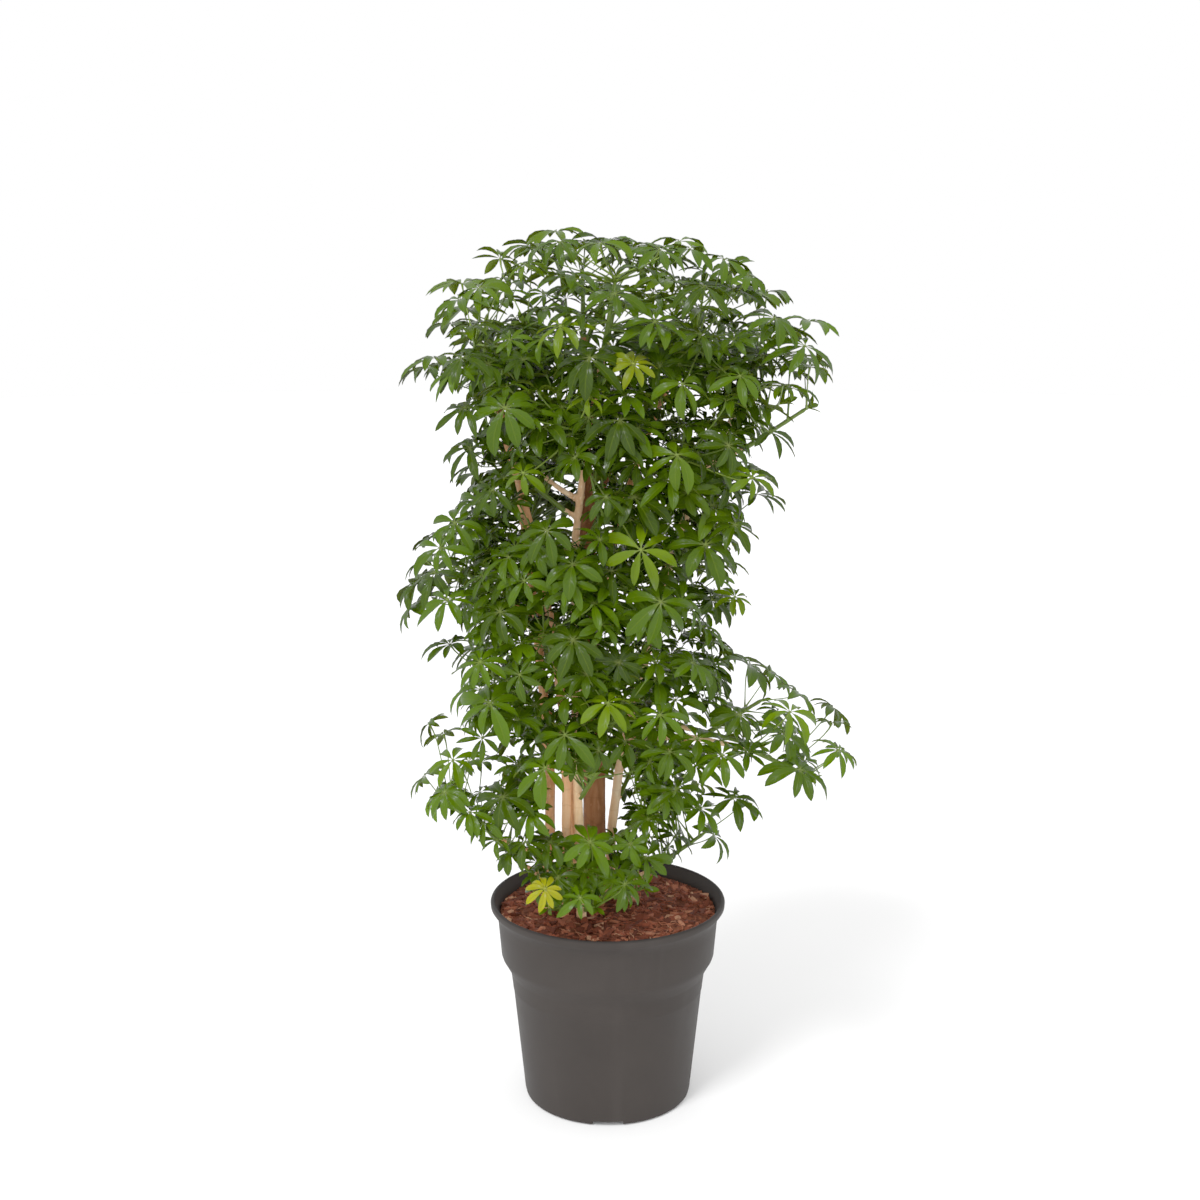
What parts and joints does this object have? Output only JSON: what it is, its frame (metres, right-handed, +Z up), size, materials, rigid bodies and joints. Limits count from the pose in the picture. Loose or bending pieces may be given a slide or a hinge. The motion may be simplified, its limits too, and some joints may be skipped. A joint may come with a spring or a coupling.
{
  "type": "potted umbrella plant",
  "caption": "Bushy branched umbrella plant with woody stems and fans of glossy drooping leaflets, standing in a round tapered nursery pot of bark mix.",
  "frame": {"origin": "middle of the pot's foot, on the surface that the pot stands on", "axes": "+Z up along the pot's axis and the stems, -Y towards the front of the plant, +X to its right"},
  "size_m": [0.6324, 0.4348, 1.2687],
  "materials": {
    "pot": "matte dark warm grey moulded plastic with a fine grain",
    "potting_mix": "coarse reddish-brown coir and bark chips",
    "bark": "smooth tan bark with leaf-scar rings, darker and rougher on the old trunk",
    "leaf": "glossy mid to dark green leaflets with pale midribs and paler undersides, on light green stalks"
  },
  "bodies": {
    "root": {"leafy_shoot_01": "leaf", "leafy_shoot_02": "leaf", "leafy_shoot_03": "leaf", "leafy_shoot_04": "leaf", "leafy_shoot_05": "leaf", "leafy_shoot_06": "leaf", "leafy_shoot_07": "leaf", "leafy_shoot_08": "leaf", "leafy_shoot_09": "leaf", "leafy_shoot_10": "leaf", "leafy_shoot_11": "leaf", "leafy_shoot_12": "leaf", "leafy_shoot_13": "leaf", "leafy_shoot_14": "leaf", "leafy_shoot_15": "leaf", "leafy_shoot_16": "leaf", "leafy_shoot_17": "leaf", "leafy_shoot_18": "leaf", "leafy_shoot_19": "leaf", "leafy_shoot_20": "leaf", "leafy_shoot_21": "leaf", "leafy_shoot_22": "leaf", "leafy_shoot_23": "leaf", "leafy_shoot_24": "leaf", "leafy_shoot_25": "leaf", "leafy_shoot_26": "leaf", "leafy_shoot_27": "leaf", "leafy_shoot_28": "leaf", "leafy_shoot_29": "leaf", "leafy_shoot_30": "leaf", "leafy_shoot_31": "leaf", "leafy_shoot_32": "leaf", "leafy_shoot_33": "leaf", "leafy_shoot_34": "leaf", "leafy_shoot_35": "leaf", "leafy_shoot_36": "leaf", "leafy_shoot_37": "leaf", "leafy_shoot_38": "leaf", "leafy_shoot_39": "leaf", "leafy_shoot_40": "leaf", "leafy_shoot_41": "leaf", "leafy_shoot_42": "leaf", "leafy_shoot_43": "leaf", "leafy_shoot_44": "leaf", "leafy_shoot_45": "leaf", "leafy_shoot_46": "leaf", "leafy_shoot_47": "leaf", "leafy_shoot_48": "leaf", "pot": "pot", "potting_mix": "potting_mix", "stem_back": "bark", "stem_front_left": "bark", "stem_front_middle": "bark", "stem_left": "bark", "stem_old_trunk": "bark", "stem_right": "bark"}
  },
  "joints": []
}
